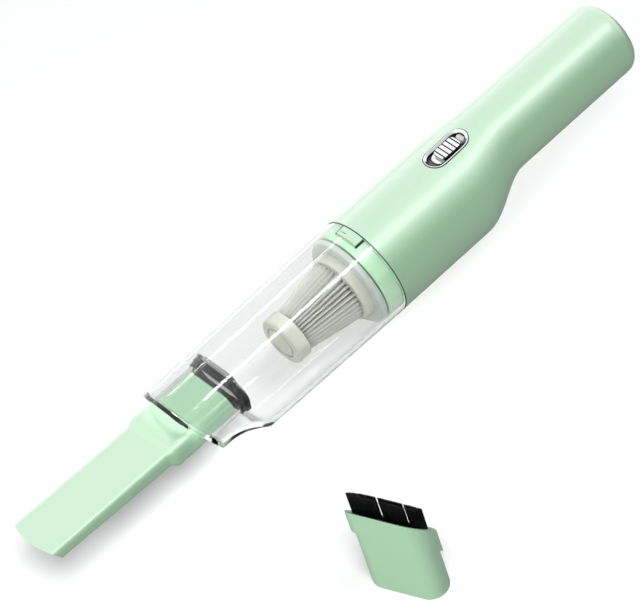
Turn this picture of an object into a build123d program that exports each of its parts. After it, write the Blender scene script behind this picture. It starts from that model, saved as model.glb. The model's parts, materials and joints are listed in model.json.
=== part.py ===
from build123d import *
import math
import os

os.makedirs("parts", exist_ok=True)

# A cordless desktop vacuum lying on its belly, with its loose dusting brush standing beside it.
# Millimetres. +X runs from the nozzle to the handle end, +Z is the switch side, -Y is the near side.
# Stations are distances along the long axis, counted from the seam between body and dust cup.

# ---- driving dimensions of the body ----
body_radius = 26.0
shell_wall = 2.0
neck_start = 56.0
neck_end = 88.0
handle_radius = 19.0
handle_rise = 8.67
handle_end = 165.4
rear_edge = 6.65
rear_hole_radius = 12.0

# ---- dust cup ----
cup_taper = 0.0153
cup_sag = 0.00965
cup_wall = 2.0
cup_rim = -0.5
scoop_radius = 23.6
scoop_centre_x = -108.0
snout_floor = -1.7
mouth_top_x = -123.5
mouth_top_z = 23.0
mouth_slant = 27.8
snout_corner = 5.0
notch_width = 13.4
notch_length = 5.7

# ---- inlet tube and nozzle ----
tube_rise = 6.6
bore_width = 31.0
bore_height = 12.5
bore_corner = 5.8
tube_wall = 1.5
tube_inner_end = -90.6
tip_top_x = -205.8
tip_top_z = 13.8
tip_slant = 30.0
tip_bow = 2.4
insert_end = -96.5
neck_width = 32.5
neck_height = 12.9
neck_centre = 6.9
shoulder_x = -131.0
blade_start_x = -134.5
blade_width = 28.4
blade_root_height = 9.3
blade_root_centre = 7.45
blade_tip_height = 7.1
blade_tip_centre = 10.2
duct_wall = 1.2

# ---- filter ----
flange_radius = 23.1
flange_front = -12.5
flange_back = -9.4
base_ring_front = -17.2
pleat_front = -47.7
filter_cap_front = -54.7
pleat_count = 38

# ---- slide switch ----
switch_x = 59.8
bezel_length = 24.7
bezel_width = 11.7
bezel_lip = 1.3
slider_length = 12.8
slider_width = 7.4
slider_x = 60.7
groove_count = 5
groove_pitch = 2.45
groove_width = 0.66

# ---- loose brush ----
brush_x = -100.0
brush_y = -125.0
brush_length = 36.8
brush_depth = 16.0
brush_wall = 1.6
brush_height = 55.0
brush_slant = 54.0
brush_yaw = 21.0
collar_height = 14.8
collar_step = 1.4
bristle_height = 14.2
bristle_ring = 2.4

# ---- where the long axis lies: the origin is under the middle of everything, on the floor ----
seam_x = -(tip_top_x + handle_end) / 2
brush_half_straight = (brush_length - brush_depth) / 2 * math.cos(math.radians(brush_yaw))
near_edge = brush_y - brush_half_straight - brush_depth / 2 - collar_step
axis_y = -(near_edge + body_radius) / 2
axis_z = body_radius


def station(x, rise=0.0):
    """Plane across the long axis: its x runs along +Y, its y along +Z, its normal along +X."""
    return Plane(origin=(seam_x + x, axis_y, axis_z + rise), x_dir=(0, 1, 0), z_dir=(1, 0, 0))


def level(z, x=0.0):
    """Plane parallel to the floor at a height above the long axis, its x along +X."""
    return Plane(origin=(seam_x + x, axis_y, axis_z + z), x_dir=(1, 0, 0), z_dir=(0, 0, 1))


side_plane = Plane(origin=(seam_x, axis_y, axis_z), x_dir=(1, 0, 0), z_dir=(0, -1, 0))


def slanted(x, z, slant):
    """Plane facing the nozzle end, its underside swept back by the slant angle."""
    angle = math.radians(slant)
    facing = (-math.cos(angle), 0, -math.sin(angle))
    return Plane(origin=(seam_x + x, axis_y, axis_z + z), x_dir=(0, 1, 0), z_dir=facing)


def finish(piece, name):
    """Label a piece and write it."""
    piece.label = name
    export_step(piece, f"parts/{name}.step")
    print(f"{name}: {len(piece.solids())} solid(s), {piece.volume:.1f} mm3")


def tube(x_from, x_to, outer, inner, rise=0.0):
    """A plain ring or sleeve round the long axis."""
    with BuildPart() as ring:
        with BuildSketch(station(x_from, rise)):
            Circle(outer)
            if inner > 0:
                Circle(inner, mode=Mode.SUBTRACT)
        extrude(amount=x_to - x_from)
    return ring.part


# ================= body shell =================


def shell_section(x):
    """Radius and rise of the shell's outside: a full body, an S-shaped neck, a slim handle."""
    travel = min(max((x - neck_start) / (neck_end - neck_start), 0), 1)
    blend = (1 - math.cos(math.pi * travel)) / 2
    radius = body_radius + (handle_radius - body_radius) * blend
    return radius, handle_rise * blend


def shell_form(inset, x_from, x_to):
    """The shell's outer form, or its cavity when inset by the wall."""
    neck_stations = 9
    with BuildPart() as form:
        with BuildSketch(station(x_from)):
            Circle(body_radius - inset)
        extrude(amount=neck_start - x_from)
        for step in range(neck_stations):
            x = neck_start + (neck_end - neck_start) * step / (neck_stations - 1)
            radius, rise = shell_section(x)
            with BuildSketch(station(x, rise)):
                Circle(radius - inset)
        loft()
        with BuildSketch(station(neck_end, handle_rise)):
            Circle(handle_radius - inset)
        extrude(amount=x_to - neck_end)
        rear_rim = form.edges().filter_by(GeomType.CIRCLE).sort_by(Axis.X)[-1]
        fillet(rear_rim, radius=rear_edge - 2 * inset)
    return form.part


vent_pitch = 4.4
vent_count = 6
vent_x = 39.0
vent_offset = 9.0
vent_length = 11.0
vent_width = 2.2
bezel_gap = 0.2

with BuildPart() as body_shell:
    add(shell_form(0.0, 0.0, handle_end))
    seam_edge = body_shell.edges().filter_by(GeomType.CIRCLE).sort_by(Axis.X)[0]
    chamfer(seam_edge, length=0.25)
    add(shell_form(shell_wall, -1.0, handle_end - shell_wall), mode=Mode.SUBTRACT)
    with BuildSketch(station(handle_end - 3 * shell_wall, handle_rise)):
        Circle(rear_hole_radius)
    extrude(amount=4 * shell_wall, mode=Mode.SUBTRACT)
    with BuildSketch(level(body_radius + 4, switch_x)):
        SlotOverall(bezel_length + 2 * bezel_gap, bezel_width + 2 * bezel_gap)
    extrude(amount=-12, mode=Mode.SUBTRACT)
    with BuildSketch(level(-body_radius - 1, vent_x)):
        with GridLocations(vent_pitch, 2 * vent_offset, vent_count, 2):
            SlotOverall(vent_length, vent_width, rotation=90)
    extrude(amount=7, mode=Mode.SUBTRACT)
finish(body_shell.part, "body_shell")

# ================= front spigot that the cup plugs onto =================

spigot_front = -8.9
spigot_radius = 23.55
spigot_inner = 20.5
bulkhead_front = -3.4
bulkhead_back = -1.4
filter_hole_radius = 15.4
spigot_back = 3.0
spigot_fixing_radius = 18.0
spigot_fixing_start = 30
spring_hole_radius = 2.0
spring_floor = 17.0
button_floor = 20.5
button_x = -2.7

with BuildPart() as spigot_ring:
    add(tube(spigot_front, 0.0, spigot_radius, spigot_inner))
    add(tube(0.0, spigot_back, body_radius - shell_wall, spigot_inner))
    add(tube(bulkhead_front, bulkhead_back, spigot_inner, filter_hole_radius))
    with BuildSketch(level(filter_hole_radius + 0.1, button_x)):
        Rectangle(4.6, 7.0)
    extrude(amount=button_floor - filter_hole_radius - 0.1)
    with BuildSketch(level(button_floor, button_x)):
        Rectangle(notch_length, notch_width - 0.2)
    extrude(amount=6, mode=Mode.SUBTRACT)
    with BuildSketch(level(spring_floor, button_x)):
        Circle(spring_hole_radius)
    extrude(amount=6, mode=Mode.SUBTRACT)
    with BuildSketch(station(bulkhead_front - 1)):
        with PolarLocations(spigot_fixing_radius, 3, start_angle=spigot_fixing_start):
            Circle(1.25)
    extrude(amount=4, mode=Mode.SUBTRACT)
finish(spigot_ring.part, "spigot_ring")

with BuildPart() as spigot_screws:
    with BuildSketch(station(bulkhead_front)):
        with PolarLocations(spigot_fixing_radius, 3, start_angle=spigot_fixing_start):
            Circle(1.1)
    extrude(amount=7)
    with BuildSketch(station(bulkhead_front - 1.5)):
        with PolarLocations(spigot_fixing_radius, 3, start_angle=spigot_fixing_start):
            Circle(2.2)
    extrude(amount=1.5)
finish(spigot_screws.part, "spigot_screws")

# ================= release button and its spring =================

button_width = 12.6
button_length = 5.0
button_underside = 22.0
button_crown_radius = 25.9

with BuildPart() as release_button:
    with BuildSketch(level(button_underside, button_x)):
        RectangleRounded(button_length, button_width, 0.4)
    extrude(amount=6)
    add(tube(button_x - 6, button_x + 6, button_crown_radius, 0), mode=Mode.INTERSECT)
    with BuildSketch(level(button_crown_radius - 0.9, button_x - 0.6)):
        with Locations((0, 3.9)):
            Rectangle(0.45, 4.4)
    extrude(amount=3, mode=Mode.SUBTRACT)
finish(release_button.part, "release_button")

spring_wire = 0.36
spring_radius = 1.4
spring_height = button_underside - spring_floor - spring_wire

with BuildPart() as button_spring:
    with BuildLine(level(spring_floor + spring_wire / 2, button_x)):
        coil = Helix(pitch=spring_height / 4, height=spring_height, radius=spring_radius)
    with BuildSketch(Plane(origin=coil @ 0, z_dir=coil % 0)):
        Circle(spring_wire / 2)
    sweep(is_frenet=True)
finish(button_spring.part, "button_spring")

# ================= fan housing and motor =================

fan_front = 3.0
fan_back = 17.4
fan_wall_outer = 21.8
fan_wall_inner = 20.4
inlet_eye_radius = 8.5
boss_radius = 2.4
motor_fixing = 8.0

with BuildPart() as fan_housing:
    add(tube(fan_front, fan_front + 1.4, body_radius - shell_wall - 0.1, inlet_eye_radius))
    add(tube(fan_front + 1.4, fan_back - 1.4, fan_wall_outer, fan_wall_inner))
    add(tube(fan_back - 1.4, fan_back, fan_wall_outer, 5.2))
    with BuildSketch(station(bulkhead_back)):
        with PolarLocations(spigot_fixing_radius, 3, start_angle=spigot_fixing_start):
            Circle(boss_radius)
    extrude(amount=fan_front - bulkhead_back)
    with BuildSketch(station(bulkhead_back)):
        with PolarLocations(spigot_fixing_radius, 3, start_angle=spigot_fixing_start):
            Circle(1.15)
    extrude(amount=6, mode=Mode.SUBTRACT)
    with BuildSketch(station(fan_back - 2)):
        with PolarLocations(16.8, 8):
            SlotOverall(7, 3.6, rotation=90)
        with GridLocations(2 * motor_fixing, 1, 2, 1):
            Circle(1.35)
    extrude(amount=3, mode=Mode.SUBTRACT)
finish(fan_housing.part, "fan_housing")

can_radius = 12.2
can_front = fan_back
can_back = 48.2
shaft_radius = 1.0
shaft_hole = 1.05
bush_radius = 3.0

with BuildPart() as motor_can:
    add(tube(can_front, can_back, can_radius, can_radius - 1.0))
    add(tube(can_front, can_front + 1.0, can_radius - 1.0, bush_radius))
    add(tube(can_front - 1.5, can_front, 5.0, bush_radius))
    with BuildSketch(station(can_front - 0.5)):
        with GridLocations(2 * motor_fixing, 1, 2, 1):
            Circle(1.3)
    extrude(amount=2, mode=Mode.SUBTRACT)
finish(motor_can.part, "motor_can")

with BuildPart() as motor_screws:
    with BuildSketch(station(can_front - 1.4)):
        with GridLocations(2 * motor_fixing, 1, 2, 1):
            Circle(1.25)
    extrude(amount=3.4)
    with BuildSketch(station(can_front - 2.6)):
        with GridLocations(2 * motor_fixing, 1, 2, 1):
            Circle(2.2)
    extrude(amount=1.2)
finish(motor_screws.part, "motor_screws")

rear_bush_radius = 2.5

with BuildPart() as motor_end_cap:
    add(tube(can_back - 2.2, can_back, can_radius - 1.05, rear_bush_radius))
    add(tube(can_back, can_back + 1.3, 4.2, rear_bush_radius))
    with BuildSketch(station(can_back - 3)):
        with GridLocations(1, 14, 1, 2):
            Rectangle(2.3, 0.8)
    extrude(amount=4, mode=Mode.SUBTRACT)
finish(motor_end_cap.part, "motor_end_cap")

with BuildPart() as motor_bushes:
    add(tube(can_front - 1.5, can_front + 1.0, bush_radius, shaft_hole))
    add(tube(can_back - 2.2, can_back + 1.3, rear_bush_radius, shaft_hole))
finish(motor_bushes.part, "motor_bushes")

with BuildPart() as motor_terminals:
    with BuildSketch(station(can_back - 3)):
        with GridLocations(1, 14, 1, 2):
            Rectangle(2.2, 0.7)
    extrude(amount=7.5)
finish(motor_terminals.part, "motor_terminals")

with BuildPart() as motor_magnets:
    with BuildSketch(station(22.0)):
        Circle(11.1)
        Circle(9.5, mode=Mode.SUBTRACT)
        Rectangle(8, 30, mode=Mode.SUBTRACT)
    extrude(amount=20)
finish(motor_magnets.part, "motor_magnets")

with BuildPart() as rotor_core:
    with BuildSketch(station(24.0)):
        Circle(8.9)
        with PolarLocations(8.4, 3):
            Rectangle(7.5, 1.6, mode=Mode.SUBTRACT)
        with PolarLocations(6.0, 3):
            Rectangle(3.6, 6.5, mode=Mode.SUBTRACT)
    extrude(amount=16)
    add(tube(5.5, 50.0, shaft_radius, 0))
finish(rotor_core.part, "rotor_core")

with BuildPart() as commutator:
    with BuildSketch(station(41.2)):
        Circle(2.7)
        Circle(shaft_radius, mode=Mode.SUBTRACT)
        with PolarLocations(2.4, 3, start_angle=60):
            Rectangle(1.0, 0.35, mode=Mode.SUBTRACT)
    extrude(amount=3.6)
finish(commutator.part, "commutator")

blade_count = 9
fan_plate_x = 12.0
fan_radius = 18.5
fan_blade_depth = 6.0
fan_blade_thickness = 0.9

with BuildSketch() as fan_blade:
    with BuildLine():
        camber = ThreePointArc((3.2, 0), (10.5, 2.6), (fan_radius - 0.8, 0.6))
        offset(camber, amount=fan_blade_thickness / 2, side=Side.BOTH)
    make_face()

with BuildPart() as impeller:
    add(tube(fan_plate_x, fan_plate_x + 1.2, fan_radius, shaft_radius))
    add(tube(fan_plate_x - fan_blade_depth, fan_plate_x, 3.6, shaft_radius))
    with BuildSketch(station(fan_plate_x)):
        with PolarLocations(0, blade_count):
            add(fan_blade.sketch)
    extrude(amount=-fan_blade_depth)
finish(impeller.part, "impeller")

with BuildPart() as motor_mount:
    add(tube(22.0, 25.5, body_radius - shell_wall - 0.2, can_radius + 0.05))
    with BuildSketch(station(21.0)):
        with PolarLocations(18.3, 6, start_angle=30):
            SlotOverall(11, 5.6, rotation=90)
    extrude(amount=6, mode=Mode.SUBTRACT)
finish(motor_mount.part, "motor_mount")

with BuildPart() as exhaust_foam:
    with BuildSketch(station(27.0)):
        Circle(body_radius - shell_wall - 0.1)
        Circle(body_radius - shell_wall - 2.2, mode=Mode.SUBTRACT)
        with Locations((0, 14)):
            Rectangle(60, 50, mode=Mode.SUBTRACT)
    extrude(amount=25)
finish(exhaust_foam.part, "exhaust_foam")

# ================= chassis, battery and electronics =================

cell_radius = 9.15
cell_length = 65.0
cell_front = 91.0
cradle_clearance = 0.2
cradle_wall = 1.5
rail_height = 3.0
board_bottom = 16.0
board_thickness = 1.6
board_from = 49.0
board_to = 79.0

with BuildPart() as inner_chassis:
    cradle_inner = cell_radius + cradle_clearance
    add(tube(88.5, 157.0, cradle_inner + cradle_wall, cradle_inner, handle_rise))
    for rib_x in (88.5, 122.0, 155.0):
        add(tube(rib_x, rib_x + 1.8, handle_radius - shell_wall - 0.15, cradle_inner, handle_rise))
    with BuildSketch(level(handle_rise - 1.0, 125)):
        Rectangle(90, 50)
    extrude(amount=40, mode=Mode.SUBTRACT)
    add(tube(88.5, 90.3, handle_radius - shell_wall - 0.15, 0, handle_rise))
    with BuildSketch(level(board_bottom - rail_height, (board_from + 88.5) / 2)):
        with GridLocations(1, 13, 1, 2):
            Rectangle(88.5 - board_from, 2.0)
    extrude(amount=rail_height)
    with BuildSketch(level(board_bottom - rail_height, board_to - 4)):
        Rectangle(3, 13)
    extrude(amount=rail_height - 1.0)
    with BuildSketch(station(88.0, handle_rise)):
        with Locations((0, -12.5), (0, 12.5)):
            SlotOverall(9, 3)
    extrude(amount=4, mode=Mode.SUBTRACT)
    with BuildSketch(level(board_bottom - rail_height - 1)):
        with Locations((board_from + 3, 6.5), (board_to - 10, -6.5)):
            Circle(0.7)
    extrude(amount=6, mode=Mode.SUBTRACT)
finish(inner_chassis.part, "inner_chassis")

with BuildPart() as battery_cell:
    add(tube(cell_front, cell_front + cell_length - 1.2, cell_radius, 0, handle_rise))
    add(tube(cell_front + cell_length - 1.2, cell_front + cell_length, 3.2, 0, handle_rise))
    sleeve_ends = battery_cell.edges().filter_by(GeomType.CIRCLE).group_by(SortBy.RADIUS)[-1]
    fillet(sleeve_ends, radius=0.6)
finish(battery_cell.part, "battery_cell")

with BuildPart() as battery_tabs:
    for tab_x in (cell_front - 0.3, cell_front + cell_length):
        with BuildSketch(station(tab_x, handle_rise)):
            Rectangle(6, 12)
        extrude(amount=0.3)
finish(battery_tabs.part, "battery_tabs")

with BuildPart() as control_board:
    with BuildSketch(level(board_bottom, (board_from + board_to) / 2)):
        RectangleRounded(board_to - board_from, 15, 1.0)
    extrude(amount=board_thickness)
    with BuildSketch(level(board_bottom - 1)):
        with Locations((board_from + 3, 6.5), (board_to - 10, -6.5)):
            Circle(0.8)
    extrude(amount=4, mode=Mode.SUBTRACT)
    chip_level = board_bottom + board_thickness
    with BuildSketch(level(chip_level, board_to - 4.5)):
        Rectangle(4.0, 5.0)
    extrude(amount=1.4)
    with BuildSketch(level(chip_level, board_from + 4)):
        with Locations((0, -3.5)):
            Rectangle(3.2, 3.2)
    extrude(amount=1.0)
finish(control_board.part, "control_board")

with BuildPart() as board_screws:
    with BuildSketch(level(board_bottom - 2.4)):
        with Locations((board_from + 3, 6.5), (board_to - 10, -6.5)):
            Circle(0.7)
    extrude(amount=2.4 + board_thickness)
    with BuildSketch(level(board_bottom + board_thickness)):
        with Locations((board_from + 3, 6.5), (board_to - 10, -6.5)):
            Circle(1.4)
    extrude(amount=0.9)
finish(board_screws.part, "board_screws")

with BuildPart() as slide_switch:
    with BuildSketch(level(board_bottom + board_thickness, slider_x - 1.5)):
        Rectangle(9.0, 4.2)
    extrude(amount=3.2)
finish(slide_switch.part, "slide_switch")

lens_x = 68.95

with BuildPart() as status_led:
    with BuildSketch(level(board_bottom + board_thickness, lens_x)):
        Rectangle(2.0, 3.0)
    extrude(amount=1.3)
finish(status_led.part, "status_led")

lead_radius = 0.55


def lead(points, corner):
    """A stranded lead: a round wire along straight runs with rounded corners."""
    with BuildPart() as wire:
        with BuildLine():
            route = [(seam_x + x, axis_y + y, axis_z + z) for x, y, z in points]
            run = FilletPolyline(*route, radius=corner)
        with BuildSketch(Plane(origin=run @ 0, z_dir=run % 0)):
            Circle(lead_radius)
        sweep()
    return wire.part


terminal_end = can_back + 4.5
terminal_offset = 7.0
red_route = (
    (terminal_end, 0, terminal_offset),
    (58.0, 0, terminal_offset),
    (60.0, 1.5, 12.0),
    (60.0, 1.5, board_bottom),
)
black_route = (
    (terminal_end, 0, -terminal_offset),
    (60.0, 0, -terminal_offset),
    (66.0, -1.5, 4.0),
    (66.0, -1.5, board_bottom),
)
finish(lead(red_route, 1.8), "motor_lead_red")
finish(lead(black_route, 3.0), "motor_lead_black")

# ================= slide switch on the back of the body =================

well_floor = 22.4
floor_plate = 0.8
well_rim = 24.2
slider_underside = well_floor + floor_plate + 0.15
slider_height = 2.7
slider_travel = 3.0
groove_depth = 1.2
apron_front = 51.8
apron_thickness = 0.7


def edge_is_inner_rim(edge):
    """True for the bezel's top edges along the inside of its oval."""
    middle = edge @ 0.5
    half_straight = (bezel_length - bezel_width) / 2
    beyond = max(abs(middle.X - seam_x - switch_x) - half_straight, 0)
    reach = math.hypot(beyond, middle.Y - axis_y)
    upright = abs((edge @ 0).Z - (edge @ 1).Z) > 1.0
    near_top = middle.Z > axis_z + well_rim + 0.3
    return abs(reach - bezel_width / 2 + bezel_lip) < 0.02 and near_top and not upright


with BuildPart() as switch_bezel:
    with BuildSketch(level(well_rim, switch_x)):
        SlotOverall(bezel_length, bezel_width)
        SlotOverall(bezel_length - 2 * bezel_lip, bezel_width - 2 * bezel_lip, mode=Mode.SUBTRACT)
    extrude(amount=7)
    add(shell_form(-0.25, -1.0, handle_end), mode=Mode.INTERSECT)
    inner_rim = switch_bezel.edges().filter_by(lambda edge: edge_is_inner_rim(edge))
    chamfer(inner_rim, length=0.9)
finish(switch_bezel.part, "switch_bezel")

with BuildPart() as switch_well:
    with BuildSketch(level(well_floor, switch_x)):
        SlotOverall(bezel_length, bezel_width)
    extrude(amount=well_rim - well_floor)
    with BuildSketch(level(well_floor + floor_plate, switch_x)):
        SlotOverall(bezel_length - 2 * bezel_lip + 0.4, bezel_width - 2 * bezel_lip + 0.4)
    extrude(amount=8, mode=Mode.SUBTRACT)
    with BuildSketch(level(well_floor - 1, slider_x - slider_travel / 2)):
        SlotOverall(8.0, 2.4)
    extrude(amount=4, mode=Mode.SUBTRACT)
finish(switch_well.part, "switch_well")

with BuildPart() as switch_slider:
    with BuildSketch(level(slider_underside, slider_x)):
        RectangleRounded(slider_length, slider_width, 2.2)
    extrude(amount=slider_height)
    fillet(switch_slider.faces().sort_by(Axis.Z)[-1].edges(), radius=0.5)
    with BuildSketch(level(slider_underside + slider_height - groove_depth, slider_x)):
        with GridLocations(groove_pitch, 1, groove_count, 1):
            Rectangle(groove_width, slider_width)
    extrude(amount=2 * groove_depth, mode=Mode.SUBTRACT)
    with BuildSketch(level(slider_underside, (apron_front + slider_x) / 2)):
        RectangleRounded(slider_x - apron_front, slider_width, 3.2)
    extrude(amount=apron_thickness)
    with BuildSketch(level(slider_underside, slider_x)):
        Rectangle(3.0, 1.7)
    extrude(amount=-(slider_underside - board_bottom - board_thickness - 3.2 - 0.3))
finish(switch_slider.part, "switch_slider")

with BuildPart() as indicator_lens:
    with BuildSketch(level(well_floor + floor_plate, lens_x)):
        RectangleRounded(3.0, 4.6, 1.4)
    extrude(amount=2.6)
    fillet(indicator_lens.faces().sort_by(Axis.Z)[-1].edges(), radius=0.9)
finish(indicator_lens.part, "indicator_lens")

# ================= rear end: charging port and cap =================

port_width = 8.94
port_height = 3.2
port_length = 7.3
port_mouth = handle_end - 0.1

with BuildPart() as rear_cap:
    add(tube(handle_end - shell_wall, handle_end, rear_hole_radius - 0.05, 0, handle_rise))
    add(tube(handle_end - shell_wall - 1.5, handle_end - shell_wall, rear_hole_radius + 1.2, 0, handle_rise))
    with BuildSketch(station(handle_end + 1, handle_rise)):
        SlotOverall(port_width + 0.3, port_height + 0.3)
    extrude(amount=-8, mode=Mode.SUBTRACT)
    outer_rim = rear_cap.faces().sort_by(Axis.X)[-1].edges().filter_by(GeomType.CIRCLE)
    chamfer(outer_rim.group_by(SortBy.RADIUS)[-1], length=0.3)
finish(rear_cap.part, "rear_cap")

with BuildPart() as charging_port:
    with BuildSketch(station(port_mouth, handle_rise)):
        SlotOverall(port_width, port_height)
        SlotOverall(port_width - 0.6, port_height - 0.6, mode=Mode.SUBTRACT)
    extrude(amount=-port_length)
    with BuildSketch(station(port_mouth - port_length, handle_rise)):
        SlotOverall(port_width, port_height)
    extrude(amount=1.0)
    with BuildSketch(station(port_mouth - port_length, handle_rise)):
        Rectangle(6.7, 0.7)
    extrude(amount=port_length - 0.8)
finish(charging_port.part, "charging_port")

with BuildPart() as charge_board:
    with BuildSketch(station(port_mouth - port_length, handle_rise)):
        RectangleRounded(15, 17, 1.0)
    extrude(amount=-0.8)
finish(charge_board.part, "charge_board")

# ================= filter =================

filter_neck_radius = 15.1
filter_air_hole = 11.0
base_ring_radius = 17.6

with BuildPart() as filter_holder:
    add(tube(flange_front, flange_back, flange_radius, filter_air_hole))
    add(tube(flange_back, bulkhead_front - 0.3, filter_neck_radius, filter_neck_radius - 1.6))
    flange_rim = filter_holder.edges().filter_by(GeomType.CIRCLE).group_by(SortBy.RADIUS)[-1]
    fillet(flange_rim, radius=0.8)
finish(filter_holder.part, "filter_holder")

with BuildPart() as filter_base_ring:
    with BuildSketch(station(flange_front)):
        Circle(base_ring_radius)
    with BuildSketch(station(base_ring_front)):
        Circle(base_ring_radius - 0.5)
    loft()
    add(tube(base_ring_front, flange_front, filter_air_hole, 0), mode=Mode.SUBTRACT)
    front_rims = filter_base_ring.edges().filter_by(GeomType.CIRCLE).group_by(Axis.X)[0]
    fillet(front_rims.sort_by(SortBy.RADIUS)[-1], radius=0.6)
finish(filter_base_ring.part, "filter_base_ring")

base_crest = 15.8
base_valley = 12.6
cap_crest = 10.8
cap_valley = 8.6
paper = 0.6


def pleat_star(crest, valley):
    """Corner points of the folded paper, crest and valley in turn."""
    corners = []
    for index in range(pleat_count):
        for reach, half in ((crest, 0.0), (valley, 0.5)):
            angle = 2 * math.pi * (index + half) / pleat_count
            corners.append((reach * math.cos(angle), reach * math.sin(angle)))
    return corners


with BuildPart() as filter_pleats:
    for inset, mode in ((0.0, Mode.ADD), (paper, Mode.SUBTRACT)):
        with BuildSketch(station(base_ring_front)):
            Polygon(*pleat_star(base_crest - inset, base_valley - inset), align=None)
        with BuildSketch(station(pleat_front)):
            Polygon(*pleat_star(cap_crest - inset, cap_valley - inset), align=None)
        loft(ruled=True, mode=mode)
finish(filter_pleats.part, "filter_pleats")

core_radius = 7.4
core_wall = 1.0

with BuildPart() as filter_core:
    add(tube(pleat_front, base_ring_front, core_radius, core_radius - core_wall))
    add(tube(base_ring_front, base_ring_front + 1.2, filter_air_hole, core_radius - core_wall))
    core_windows = 5
    for window in range(core_windows):
        window_x = pleat_front + 3.2 + window * 5.6
        with BuildSketch(level(-core_radius - 1, window_x)):
            SlotOverall(7.0, 3.4, rotation=90)
        extrude(amount=2 * core_radius + 2, mode=Mode.SUBTRACT)
finish(filter_core.part, "filter_core")

cap_radius = 12.5

with BuildPart() as filter_end_cap:
    add(tube(filter_cap_front, pleat_front, cap_radius, 0))
    cap_front_face = filter_end_cap.faces().sort_by(Axis.X)[0]
    fillet(cap_front_face.edges(), radius=1.6)
    with BuildSketch(station(filter_cap_front)):
        Circle(8.6)
        Circle(7.4, mode=Mode.SUBTRACT)
    extrude(amount=0.9, mode=Mode.SUBTRACT)
    with BuildSketch(station(pleat_front)):
        Circle(cap_radius - 1.4)
        Circle(core_radius + 0.8, mode=Mode.SUBTRACT)
    extrude(amount=-1.5, mode=Mode.SUBTRACT)
finish(filter_end_cap.part, "filter_end_cap")

# ================= clear dust cup =================


def cup_section(x):
    """Outer radius and rise of the cup's round wall at a station."""
    return body_radius + cup_taper * x, cup_sag * x


def snout_form(inset, x_from):
    """The cup's outer form, or its cavity when inset by the wall."""
    x_far = mouth_top_x - 6.0
    with BuildPart() as form:
        for x in (x_from, x_far):
            radius, rise = cup_section(x)
            with BuildSketch(station(x, rise)):
                Circle(radius - inset)
        loft()
        reach = scoop_radius + inset
        floor = snout_floor + inset
        centre_z = snout_floor - scoop_radius
        with BuildSketch(side_plane):
            with BuildLine():
                Line((scoop_centre_x + reach, -40), (scoop_centre_x + reach, centre_z))
                CenterArc((scoop_centre_x, centre_z), reach, 0, 90)
                Line((scoop_centre_x, floor), (-150, floor))
                Line((-150, floor), (-150, -40))
                Line((-150, -40), (scoop_centre_x + reach, -40))
            make_face()
        extrude(amount=40, both=True, mode=Mode.SUBTRACT)
        corners = form.edges().filter_by(lambda edge: edge_is_snout_corner(edge))
        fillet(corners, radius=snout_corner - inset / 2)
        mouth = slanted(mouth_top_x, mouth_top_z, mouth_slant).offset(-inset)
        with BuildSketch(mouth):
            Rectangle(90, 120)
        extrude(amount=40, mode=Mode.SUBTRACT)
    return form.part


def edge_is_snout_corner(edge):
    """True for the edges where the scoop and the snout's floor meet the round wall."""
    middle = edge.center()
    beyond_scoop = middle.X < seam_x + scoop_centre_x + scoop_radius + 3
    off_centre = abs(middle.Y - axis_y) > 5
    inside_end = edge.bounding_box().max.X > seam_x + mouth_top_x - 5.5
    return beyond_scoop and off_centre and inside_end


def rounded_bar(x_from, x_to, width, height, corner, rise):
    """A straight bar of rounded rectangular section along the long axis."""
    with BuildPart() as bar:
        with BuildSketch(station(x_from, rise)):
            RectangleRounded(width, height, corner)
        extrude(amount=x_to - x_from)
    return bar.part


mouth_plane = slanted(mouth_top_x, mouth_top_z, mouth_slant)
tube_width = bore_width + 2 * tube_wall
tube_height = bore_height + 2 * tube_wall

with BuildPart() as inlet_tube:
    add(rounded_bar(tube_inner_end, -126.0, tube_width, tube_height, bore_corner + tube_wall, tube_rise))
    with BuildSketch(mouth_plane.offset(-0.5)):
        Rectangle(90, 120)
    extrude(amount=40, mode=Mode.SUBTRACT)

with BuildPart() as dust_cup:
    add(snout_form(0.0, cup_rim))
    add(snout_form(cup_wall, 1.0), mode=Mode.SUBTRACT)
    add(inlet_tube.part)
    add(rounded_bar(-80.0, -130.0, bore_width, bore_height, bore_corner, tube_rise), mode=Mode.SUBTRACT)
    with BuildSketch(level(15.0)):
        with Locations((-notch_length / 2 + 1, 0)):
            Rectangle(notch_length + 2, notch_width)
    extrude(amount=20, mode=Mode.SUBTRACT)
finish(dust_cup.part, "dust_cup")

# ================= inlet ring and its hanging flap =================

ring_back = -89.4
ring_front = -93.2
ring_margin = 0.7
ear_y = 10.4
ear_width = 2.0
ear_radius = 1.1
hinge_x = -89.6
hinge_z = 17.2
hinge_pin_radius = 0.6
front_lobe_radius = 0.9
front_lobe_step = 2.4
front_lobe_drop = 0.9


def hinge_plane(y):
    """Upright plane across the flap's hinge line, its x along +X, its y up."""
    return Plane(origin=(seam_x + hinge_x, axis_y + y, axis_z + hinge_z), x_dir=(1, 0, 0), z_dir=(0, -1, 0))


ring_seat = tube_inner_end + 0.1
ring_fit = 0.2
sleeve_width = tube_width + ring_fit
sleeve_height = tube_height + ring_fit
lip_width = tube_width + 3.4
lip_height = tube_height + 3.0

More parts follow.
